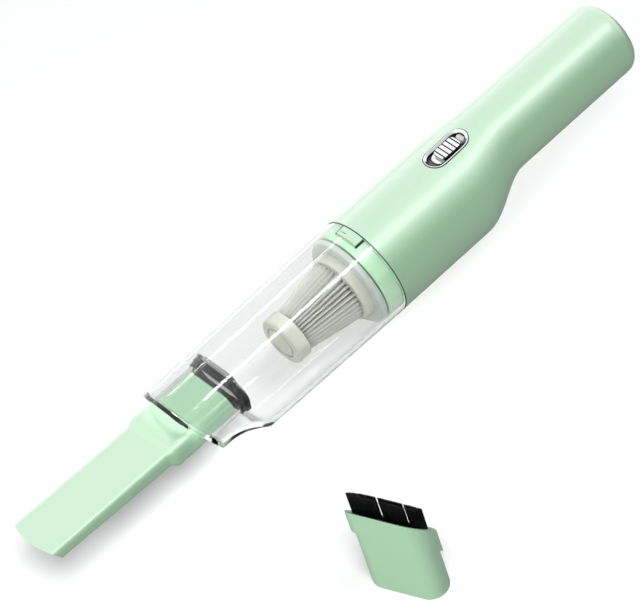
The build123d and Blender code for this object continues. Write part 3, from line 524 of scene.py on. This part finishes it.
# %% Plastics, rubber and paper
finish = {
    "mint_plastic": plastic(
        "mint_plastic", (0.475, 0.77, 0.505), (0.46, 0.755, 0.49), 0.27, 0.36,
        Specular_IOR_Level=1.0, IOR=1.6, Coat_Weight=0.6, Coat_Roughness=0.22,
    ),
    "black_plastic": plastic("black_plastic", (0.025, 0.025, 0.027), (0.02, 0.02, 0.02), 0.35, 0.5),
    "black_rubber": plastic(
        "black_rubber", (0.012, 0.012, 0.013), (0.008, 0.008, 0.009), 0.3, 0.45, Specular_IOR_Level=0.25,
    ),
    "cream_plastic": plastic("cream_plastic", (0.68, 0.68, 0.60), (0.64, 0.64, 0.56), 0.4, 0.55),
    "chassis_plastic": plastic("chassis_plastic", (0.45, 0.46, 0.47), (0.4, 0.41, 0.42), 0.45, 0.6),
    "filter_paper": plastic(
        "filter_paper", (0.70, 0.70, 0.66), (0.66, 0.66, 0.62), 0.75, 0.95, bump=0.4, grain=4000.0,
    ),
    "foam": plastic("foam", (0.05, 0.05, 0.055), (0.02, 0.02, 0.02), 0.85, 1.0, bump=1.0, grain=900.0),
    "bristle": plastic(
        "bristle", (0.004, 0.004, 0.004), (0.002, 0.002, 0.002), 0.4, 0.55, Specular_IOR_Level=0.12,
    ),
    "white_lens": plastic("white_lens", (0.93, 0.93, 0.92), (0.9, 0.9, 0.89), 0.08, 0.14, bump=0.02),
    "cell_sleeve": plastic("cell_sleeve", (0.04, 0.20, 0.45), (0.03, 0.17, 0.40), 0.15, 0.25),
    "circuit_board": plastic("circuit_board", (0.01, 0.13, 0.05), (0.008, 0.10, 0.04), 0.25, 0.4),
    "ferrite": plastic("ferrite", (0.05, 0.05, 0.055), (0.03, 0.03, 0.03), 0.5, 0.7, bump=0.3, grain=3500.0),
    "red_wire": plastic("red_wire", (0.45, 0.02, 0.015), (0.4, 0.018, 0.012), 0.3, 0.45),
    "black_wire": plastic("black_wire", (0.02, 0.02, 0.02), (0.015, 0.015, 0.015), 0.3, 0.45),
    "frosted_plastic": plastic("frosted_plastic", (0.60, 0.64, 0.60), (0.54, 0.59, 0.55), 0.3, 0.45),
}

# %% Metals
finish.update({
    "chromed_plastic": metal(
        "chromed_plastic", (0.31, 0.315, 0.315), (0.29, 0.295, 0.295), 0.05, 0.10, bump=0.005,
    ),
    "motor_steel": metal("motor_steel", (0.62, 0.62, 0.63), (0.45, 0.45, 0.46), 0.22, 0.42),
    "screw_steel": metal("screw_steel", (0.16, 0.16, 0.17), (0.10, 0.10, 0.11), 0.3, 0.45),
    "spring_steel": metal("spring_steel", (0.6, 0.6, 0.61), (0.45, 0.45, 0.46), 0.2, 0.35),
    "bush_brass": metal("bush_brass", (0.65, 0.46, 0.2), (0.5, 0.35, 0.15), 0.3, 0.45),
    "copper": metal("copper", (0.72, 0.36, 0.2), (0.6, 0.3, 0.17), 0.25, 0.4),
    "nickel": metal("nickel", (0.66, 0.64, 0.58), (0.55, 0.53, 0.48), 0.25, 0.4),
})

# %% Clear pieces
finish.update({
    "clear_silicone": clear_plastic("clear_silicone", (0.93, 0.95, 0.94), 0.12, 1.41),
    "clear_plastic": clear_plastic(
        "clear_plastic", (0.90, 0.91, 0.905), 0.0, 1.42, rim_shade=0.12, sheen=0.45,
    ),
})
print(len(finish), "finishes:", sorted(finish))

# %% [markdown]
# ## Painted shade in folds and grooves
# Shade is painted into the colour where paper folds inward and at the bottom of the thumb slide's grooves.
# Left to the lamps alone, such thin grooves fill with light. One group darkens a colour by a mask, and each
# material brings its own mask: the fold's depth, kept on the mesh, or the place of the grooves along the
# slide.

# %% Shade group
# A group for painted shade: the colour is darkened by the mask times the depth.
shade_inputs = [
    ("Color", "NodeSocketColor", (0.5, 0.5, 0.5, 1)),
    ("Mask", "NodeSocketFloat", 0.0),
    ("Depth", "NodeSocketFloat", 0.5),
]
shade_mask, shade_in, shade_out = make_group("shade_mask", shade_inputs, [("Color", "NodeSocketColor")])
shade_minus = calc(shade_mask, "MULTIPLY", shade_in["Mask"], -1.0)
shade_left = calc(shade_mask, "MULTIPLY_ADD", shade_minus, shade_in["Depth"], 1.0)
shade_scaled = add_node(shade_mask, "ShaderNodeVectorMath", {"Scale": shade_left}, operation="SCALE")
put(shade_mask, shade_in["Color"], shade_scaled.inputs[0])
put(shade_mask, shade_scaled.outputs[0], shade_out["Color"])


def shade_by(material, mask, depth):
    """Paints shade into a material's colour by a mask socket."""
    tree = material.node_tree
    colour = tree.nodes["Principled BSDF"].inputs["Base Color"]
    inputs = {"Color": colour.links[0].from_socket, "Mask": mask, "Depth": depth}
    put(tree, add_node(tree, "ShaderNodeGroup", inputs, node_tree=shade_mask).outputs["Color"], colour)


# %% Shade in the paper's folds
fold_power = 2.5
fold_shade = 0.68

paper_tree = finish["filter_paper"].node_tree
fold_mark = add_node(paper_tree, "ShaderNodeAttribute", attribute_name="fold").outputs["Fac"]
# Painted shade: the paper's colour is darkened towards the bottom of each fold.
shade_by(finish["filter_paper"], calc(paper_tree, "POWER", fold_mark, fold_power), fold_shade)
print("fold shade on", finish["filter_paper"].name)

# %% Shade in the slide's grooves
slide_middle = 60.7
groove_pitch = 2.45
groove_half = 0.33
groove_shade = 0.93
ribbed_pitches = 2.3

ribbed_chrome = finish["chromed_plastic"].copy()
ribbed_chrome.name = "ribbed_chrome"
ribbed = ribbed_chrome.node_tree
slide_place = add_node(ribbed, "ShaderNodeTexCoord").outputs["Object"]
slide_along = feed(ribbed, add_node(ribbed, "ShaderNodeSeparateXYZ"), slide_place).outputs["X"]
off_middle = calc(ribbed, "SUBTRACT", slide_along, at(slide_middle).x)
off_groove = calc(ribbed, "PINGPONG", off_middle, groove_pitch / 2 * mm)
in_groove = calc(ribbed, "LESS_THAN", off_groove, groove_half * mm)
on_ribs = calc(ribbed, "LESS_THAN", calc(ribbed, "ABSOLUTE", off_middle), ribbed_pitches * groove_pitch * mm)
# Painted shade: the chrome's colour is darkened at the bottom of each groove.
shade_by(ribbed_chrome, calc(ribbed, "MULTIPLY", in_groove, on_ribs), groove_shade)
print("groove shade on", ribbed_chrome.name)

# %% [markdown]
# ## Finishes on the solids
# The record that comes with the frame names a material for each solid, and the finishes above bear the same
# names. Only the thumb slide gets a finish of its own, the chrome with painted shade in its grooves.

# %% Finishes on the solids
slot_of = {row["node"]: row["material_slot"] for row in frame["record"]["subparts"]}
for name, node in nodes.items():
    node.data.materials.clear()
    node.data.materials.append(finish[slot_of[name]])
nodes["switch_slider"].data.materials[0] = ribbed_chrome
print(len(finish), "finishes on", len(nodes), "solids")

# %% [markdown]
# ## Shapes that follow a rule
# Folded paper and bristles are made by rules, so each one is a Geometry Nodes tree with named inputs. Made by
# hand they would be thousands of faces, and a change of one size would start it all again. A tree runs once
# on an empty mesh, and what it makes is kept as a plain mesh.

# %% Rule helpers


def make_rule(name, inputs):
    """A geometry tree with its sockets only: the tree, what comes in and where the result goes."""
    tree = bpy.data.node_groups.new(name, "GeometryNodeTree")
    for label, kind, value in inputs:
        socket_in(tree, label, kind, value)
    tree.interface.new_socket("Geometry", in_out="OUTPUT", socket_type="NodeSocketGeometry")
    return tree, tree.nodes.new("NodeGroupInput").outputs, tree.nodes.new("NodeGroupOutput").inputs[0]


def step(tree, geometry, kind, inputs=None, **settings):
    """One step on the geometry, handed on from the step before it."""
    node = add_node(tree, kind, inputs, **settings)
    return feed(tree, node, geometry).outputs[0]


def close_rule(tree, geometry, material, result):
    """The last steps of every rule: instances become real faces and get their material."""
    real = step(tree, geometry, "GeometryNodeRealizeInstances")
    put(tree, step(tree, real, "GeometryNodeSetMaterial", {"Material": material}), result)
    print(tree.name, len(tree.nodes), "nodes")


# %% Number helpers for rules


def between(tree, share, low, high):
    """The value at a share of the way from low to high."""
    return calc(tree, "MULTIPLY_ADD", share, calc(tree, "SUBTRACT", high, low), low)


def less(tree, first, second):
    """One value less another."""
    return calc(tree, "SUBTRACT", first, second)


def times(tree, first, second):
    """Two values multiplied."""
    return calc(tree, "MULTIPLY", first, second)


def vector_of(tree, *parts):
    """A vector from three sockets or numbers."""
    return feed(tree, add_node(tree, "ShaderNodeCombineXYZ"), *parts).outputs[0]


def point_parts(tree):
    """The X, Y and Z of each point."""
    place = add_node(tree, "GeometryNodeInputPosition").outputs[0]
    return feed(tree, add_node(tree, "ShaderNodeSeparateXYZ"), place).outputs


def chance(tree, low, high, seed):
    """A random number for each point, the same on every run."""
    node = add_node(tree, "FunctionNodeRandomValue", {"Seed": seed}, data_type="FLOAT")
    node.inputs[2].default_value = low
    node.inputs[3].default_value = high
    return node.outputs[1]


# %% Running a rule


def run_rule(name, tree, values, wall=0.0):
    """Runs a tree once and keeps its result as a plain mesh, with a wall grown inward if asked."""
    piece = bpy.data.objects.new(name, bpy.data.meshes.new(name + "_start"))
    bpy.context.scene.collection.objects.link(piece)
    rule = piece.modifiers.new("rule", "NODES")
    rule.node_group = tree
    for item in tree.interface.items_tree:
        if item.item_type == "SOCKET" and item.in_out == "INPUT":
            rule[item.identifier] = values[item.name]
    if wall:
        piece.modifiers.new("wall", "SOLIDIFY").thickness = wall
    graph = bpy.context.evaluated_depsgraph_get()
    mesh = bpy.data.meshes.new_from_object(piece.evaluated_get(graph), depsgraph=graph)
    mesh.name = name
    mesh.materials.clear()
    mesh.materials.append(values["Material"])
    piece.modifiers.clear()
    piece.data = mesh
    print(name, len(mesh.polygons), "faces")
    return piece


# %% [markdown]
# ## Folded paper
# The filter is one long strip, folded in a comb, closed to a ring and squeezed at one end. One fold copied
# round the axis would look machined, so a flat grid goes the paper's own way: in one direction it runs from
# cap to base, in the other round the axis, and a triangle wave with softened corners pushes it out at each
# crest and in at each valley. A little noise keeps the folds from being all alike.

# %% Rule for folded paper: inputs
paper_inputs = [
    ("Folds", "NodeSocketInt", 38),
    ("Steps", "NodeSocketInt", 456),
    ("Axis", "NodeSocketVector", (0.0, 0.0, 0.0)),
    ("Cap X", "NodeSocketFloat", 0.0),
    ("Base X", "NodeSocketFloat", 0.03),
    ("Cap Crest", "NodeSocketFloat", 0.011),
    ("Cap Valley", "NodeSocketFloat", 0.009),
    ("Base Crest", "NodeSocketFloat", 0.016),
    ("Base Valley", "NodeSocketFloat", 0.013),
    ("Sway", "NodeSocketFloat", 0.03),
    ("Unevenness", "NodeSocketFloat", 0.0003),
    ("Material", "NodeSocketMaterial", None),
]
folded, asked, folded_end = make_rule("folded_paper", paper_inputs)
print("folded_paper takes", len(paper_inputs), "values")

# %% Rule for folded paper: the flat strip and its noise
paper_rows = 13
noise_height = 0.6
sway_scale = 3.0
bulge_scale = 7.0

around = calc(folded, "ADD", asked["Steps"], 1)
strip = feed(folded, add_node(folded, "GeometryNodeMeshGrid"), 1.0, 1.0, paper_rows, around).outputs["Mesh"]
spot = point_parts(folded)
up_share = calc(folded, "ADD", spot["X"], 0.5)
round_share = calc(folded, "ADD", spot["Y"], 0.5)
plain_angle = times(folded, round_share, -math.tau)
ring_x = calc(folded, "COSINE", plain_angle)
ring_y = calc(folded, "SINE", plain_angle)
ring_spot = vector_of(folded, ring_x, ring_y, times(folded, up_share, noise_height))


def ring_noise(scale, detail, strength):
    """Noise that meets itself round the ring, half of it up and half down."""
    values = {"Vector": ring_spot, "Scale": scale, "Detail": detail}
    noise = add_node(folded, "ShaderNodeTexNoise", values).outputs["Fac"]
    return times(folded, less(folded, noise, 0.5), strength)


sway = ring_noise(sway_scale, 1.0, asked["Sway"])
bulge = ring_noise(bulge_scale, 2.0, asked["Unevenness"])
print("strip of", paper_rows, "rows")

# %% Rule for folded paper: the folds
fold_softness = 0.6

wave = calc(folded, "PINGPONG", times(folded, round_share, asked["Folds"]), 0.5)
sharp_fold = times(folded, wave, 2.0)
soft_step = add_node(folded, "ShaderNodeMapRange", interpolation_type="SMOOTHSTEP")
soft_fold = feed(folded, soft_step, sharp_fold).outputs[0]
fold = between(folded, fold_softness, sharp_fold, soft_fold)
crest = between(folded, up_share, asked["Cap Crest"], asked["Base Crest"])
valley = between(folded, up_share, asked["Cap Valley"], asked["Base Valley"])
paper_reach = calc(folded, "ADD", between(folded, fold, crest, valley), bulge)
paper_angle = calc(folded, "ADD", plain_angle, sway)
paper_x = between(folded, up_share, asked["Cap X"], asked["Base X"])
paper_y = times(folded, paper_reach, calc(folded, "COSINE", paper_angle))
paper_z = times(folded, paper_reach, calc(folded, "SINE", paper_angle))
bent = vector_of(folded, paper_x, paper_y, paper_z)
placed = feed(folded, add_node(folded, "ShaderNodeVectorMath", operation="ADD"), bent, asked["Axis"])
print("folds softened by", fold_softness)

# %% Rule for folded paper: closed to a ring
weld_gap = 0.000005

# The fold's depth is kept on the mesh, for the painted shade in the paper's valleys.
fold_note = {"Name": "fold", "Value": fold}
marked = step(
    folded, strip, "GeometryNodeStoreNamedAttribute", fold_note, data_type="FLOAT", domain="POINT",
)
shaped = step(folded, marked, "GeometryNodeSetPosition", {"Position": placed.outputs[0]})
closed = step(folded, shaped, "GeometryNodeMergeByDistance", {"Distance": weld_gap})
smooth = step(folded, closed, "GeometryNodeSetShadeSmooth")
close_rule(folded, smooth, asked["Material"], folded_end)

# %% Filter paper
pleat_low, pleat_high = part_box("filter_pleats")
paper_wall = 0.35 * mm
paper_values = {
    "Folds": 38,
    "Steps": 456,
    "Axis": Vector((0.0, seam.y, seam.z)),
    "Cap X": pleat_low.x - 0.7 * mm,
    "Base X": pleat_high.x,
    "Cap Crest": 10.8 * mm,
    "Cap Valley": 8.7 * mm,
    "Base Crest": 15.8 * mm,
    "Base Valley": 12.6 * mm,
    "Sway": 0.05,
    "Unevenness": 0.5 * mm,
    "Material": finish["filter_paper"],
}
pleats = run_rule("pleats", folded, paper_values, paper_wall)
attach(pleats, "filter")
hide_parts("filter_pleats")

# %% [markdown]
# ## Bristles
# Tufts of nylon are packed into the oval slot round the brush's air duct and then cut parallel to its slanted
# mouth. Hair strands could draw them, but real filaments keep their shape outside Blender too. A grid of
# points covers the oval. Points outside the slot, or in the narrow gaps between the tufts, are dropped, and
# one tapered filament stands on each of the others.

# %% Rule for bristles: inputs
brush_inputs = [
    ("Straight Half", "NodeSocketFloat", 0.01),
    ("Inner Reach", "NodeSocketFloat", 0.004),
    ("Outer Reach", "NodeSocketFloat", 0.006),
    ("Spacing", "NodeSocketFloat", 0.00025),
    ("Gap Middle", "NodeSocketFloat", 0.0044),
    ("Gap Place", "NodeSocketFloat", 0.0053),
    ("Gap Half", "NodeSocketFloat", 0.0004),
    ("Gap Slant", "NodeSocketFloat", 0.85),
    ("Rim Height", "NodeSocketFloat", 0.044),
    ("Rim Slope", "NodeSocketFloat", 1.37),
    ("Root Depth", "NodeSocketFloat", 0.009),
    ("Length", "NodeSocketFloat", 0.023),
    ("Filament Radius", "NodeSocketFloat", 0.0001),
    ("Place", "NodeSocketVector", (0.0, 0.0, 0.0)),
    ("Turn", "NodeSocketVector", (0.0, 0.0, 0.0)),
    ("Material", "NodeSocketMaterial", None),
]
tufted, asked, tufted_end = make_rule("tufted_brush", brush_inputs)
print("tufted_brush takes", len(brush_inputs), "values")

# %% Rule for bristles: a loose grid of roots
root_jitter = 0.4
jitter_seeds = (11, 12)

wide = times(tufted, asked["Outer Reach"], 2.0)
long_side = calc(tufted, "MULTIPLY_ADD", asked["Straight Half"], 2.0, wide)
rows_across = calc(tufted, "DIVIDE", wide, asked["Spacing"])
rows_along = calc(tufted, "DIVIDE", long_side, asked["Spacing"])
bed = feed(tufted, add_node(tufted, "GeometryNodeMeshGrid"), wide, long_side, rows_across, rows_along)
jitter_x = chance(tufted, -root_jitter, root_jitter, jitter_seeds[0])
jitter_y = chance(tufted, -root_jitter, root_jitter, jitter_seeds[1])
shift = add_node(tufted, "ShaderNodeVectorMath", {"Scale": asked["Spacing"]}, operation="SCALE")
feed(tufted, shift, vector_of(tufted, jitter_x, jitter_y, 0.0))
loose_bed = step(tufted, bed.outputs["Mesh"], "GeometryNodeSetPosition", {"Offset": shift.outputs[0]})
print("roots set off by up to", root_jitter, "of their spacing")

# %% Rule for bristles: only the tufts
root = point_parts(tufted)
sideways = calc(tufted, "ABSOLUTE", root["Y"])
beyond = calc(tufted, "MAXIMUM", less(tufted, sideways, asked["Straight Half"]), 0.0)
squares = calc(tufted, "ADD", calc(tufted, "POWER", beyond, 2.0), times(tufted, root["X"], root["X"]))
root_reach = calc(tufted, "POWER", squares, 0.5)
too_near = calc(tufted, "LESS_THAN", root_reach, asked["Inner Reach"])
too_far = calc(tufted, "GREATER_THAN", root_reach, asked["Outer Reach"])
across = less(tufted, root["Y"], times(tufted, root["X"], asked["Gap Slant"]))
from_middle = calc(tufted, "ABSOLUTE", less(tufted, across, asked["Gap Middle"]))
from_gap = calc(tufted, "ABSOLUTE", less(tufted, from_middle, asked["Gap Place"]))
in_gap = calc(tufted, "LESS_THAN", from_gap, asked["Gap Half"])
dropped = calc(tufted, "MAXIMUM", calc(tufted, "MAXIMUM", too_near, too_far), in_gap)
tuft_bed = step(tufted, loose_bed, "GeometryNodeDeleteGeometry", {"Selection": dropped}, domain="POINT")
rim_height = less(tufted, asked["Rim Height"], times(tufted, root["X"], asked["Rim Slope"]))
root_lift = vector_of(tufted, 0.0, 0.0, less(tufted, rim_height, asked["Root Depth"]))
lifted = step(tufted, tuft_bed, "GeometryNodeSetPosition", {"Offset": root_lift})
print("roots kept in the slot, less two gaps")

# %% Rule for bristles: a filament on each root
filament_sides = 5
filament_pieces = 2
tip_share = 0.55
shortest_share = 0.982
length_seed = 13
lean_most = 0.012
lean_seeds = (14, 15)
spin_most = 3.0
spin_seed = 16

filament = add_node(tufted, "GeometryNodeMeshCone", fill_type="NGON")
feed(tufted, filament, filament_sides, filament_pieces, 1, tip_share, 1.0, 1.0)
rounded = step(tufted, filament.outputs["Mesh"], "GeometryNodeSetShadeSmooth")
tall = times(tufted, asked["Length"], chance(tufted, shortest_share, 1.0, length_seed))
lean_x = chance(tufted, -lean_most, lean_most, lean_seeds[0])
lean_y = chance(tufted, -lean_most, lean_most, lean_seeds[1])
spin = chance(tufted, 0, spin_most, spin_seed)
filament_stand = {
    "Instance": rounded,
    "Rotation": vector_of(tufted, lean_x, lean_y, spin),
    "Scale": vector_of(tufted, asked["Filament Radius"], asked["Filament Radius"], tall),
}
standing = step(tufted, lifted, "GeometryNodeInstanceOnPoints", filament_stand)
stand_place = {"Translation": asked["Place"], "Rotation": asked["Turn"]}
stood = step(tufted, standing, "GeometryNodeTransform", stand_place)
close_rule(tufted, stood, asked["Material"], tufted_end)

# %% Brush bristles
brush_depth = 16.0
brush_tall = 55.0
brush_turn = math.radians(21.0)
rim_slope = math.tan(math.radians(54.0))
tuft_values = {
    "Straight Half": 10.4 * mm,
    "Inner Reach": 4.1 * mm,
    "Outer Reach": 6.2 * mm,
    "Spacing": 0.25 * mm,
    "Gap Middle": -3.2 * mm,
    "Gap Place": 6.3 * mm,
    "Gap Half": 0.42 * mm,
    "Gap Slant": 0.847,
    "Rim Height": (brush_tall - brush_depth / 2 * rim_slope) * mm,
    "Rim Slope": rim_slope,
    "Root Depth": 8.8 * mm,
    "Length": 23.0 * mm,
    "Filament Radius": 0.13 * mm,
    "Place": Vector((brush_spot.x, brush_spot.y, 0.0)),
    "Turn": Vector((0.0, 0.0, brush_turn)),
    "Material": finish["bristle"],
}
bristles = run_rule("bristles", tufted, tuft_values)
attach(bristles, "brush")
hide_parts("brush_bristles")
key_blockers.objects.link(bristles)
side_blockers.objects.link(bristles)

# %% [markdown]
# ## Two thin ribbons of painted shade
# A black ribbon stands for the shade in the gap round the chromed oval of the switch, and another one for the
# shade in the seam between body and cup. Each is a dark thing put where there is only shade, and draws a thin
# dark line of painted shade. Both are ribbons through a few rings of points. The switch's ribbon follows the
# shell's rule, a round body that narrows to the handle by half a cosine wave, so every point of it is laid on
# that surface.

# %% Ribbon helper


def ribbon(name, points, count, material):
    """A closed ribbon through rings of points, each ring with the same count."""
    faces = []
    for row in range(len(points) // count - 1):
        low = row * count
        high = low + count
        for here in range(count):
            after = (here + 1) % count
            faces.append((low + here, high + here, high + after, low + after))
    mesh = bpy.data.meshes.new(name)
    mesh.from_pydata(points, [], faces)
    mesh.materials.append(material)
    piece = bpy.data.objects.new(name, mesh)
    bpy.context.scene.collection.objects.link(piece)
    print(name, len(faces), "faces")
    return piece


# %% The shell's surface and the switch's oval
body_reach = 26.0
handle_reach = 19.0
handle_rise = 8.67
neck_from = 56.0
neck_to = 88.0
switch_middle = 59.8
oval_long = 24.7
oval_wide = 11.7


def shell_top(x, y):
    """Height of the shell's surface above the long axis."""
    travel = min(max((x - neck_from) / (neck_to - neck_from), 0.0), 1.0)
    share = (1 - math.cos(math.pi * travel)) / 2
    reach = body_reach + (handle_reach - body_reach) * share
    return handle_rise * share + math.sqrt(reach * reach - y * y)


def oval_points(grow, count):
    """Points round the switch's oval, grown by a distance."""
    radius = oval_wide / 2
    straight = oval_long / 2 - radius
    reach = radius + grow
    points = []
    for here in range(count):
        turn = math.tau * here / count
        shift = straight if math.cos(turn) >= 0 else -straight
        points.append((switch_middle + shift + reach * math.cos(turn), reach * math.sin(turn)))
    return points


print("shell top at the switch", round(shell_top(switch_middle, 0.0), 2), "mm above the axis")

# %% Switch ribbon of painted shade
switch_count = 96
shade_ribbon_proud = 0.07

# Each ring is its distance outside the oval and its height above the shell.
switch_rings = [(0.0, -0.5), (0.0, shade_ribbon_proud), (0.42, shade_ribbon_proud), (0.5, -0.1)]
switch_points = []
for grow, lift in switch_rings:
    for x, y in oval_points(grow, switch_count):
        switch_points.append(at(x, y, shell_top(x, y) + lift))
# A black ribbon of painted shade in the gap round the switch's oval.
switch_shade = ribbon("switch_shade_ribbon", switch_points, switch_count, finish["black_rubber"])
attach(switch_shade, "body")

# %% Seam ribbon of painted shade
seam_count = 160

# Each ring is its place along the axis and its distance from it.
seam_rings = [(0.02, 24.8), (0.02, 26.04), (0.36, 26.05), (0.42, 25.8)]
seam_points = []
for x, reach in seam_rings:
    for here in range(seam_count):
        turn = math.tau * here / seam_count
        seam_points.append(at(x, reach * math.cos(turn), reach * math.sin(turn)))
# A black ribbon of painted shade in the seam between body and cup.
seam_shade_ribbon = ribbon("seam_shade_ribbon", seam_points, seam_count, finish["black_rubber"])
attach(seam_shade_ribbon, "body")
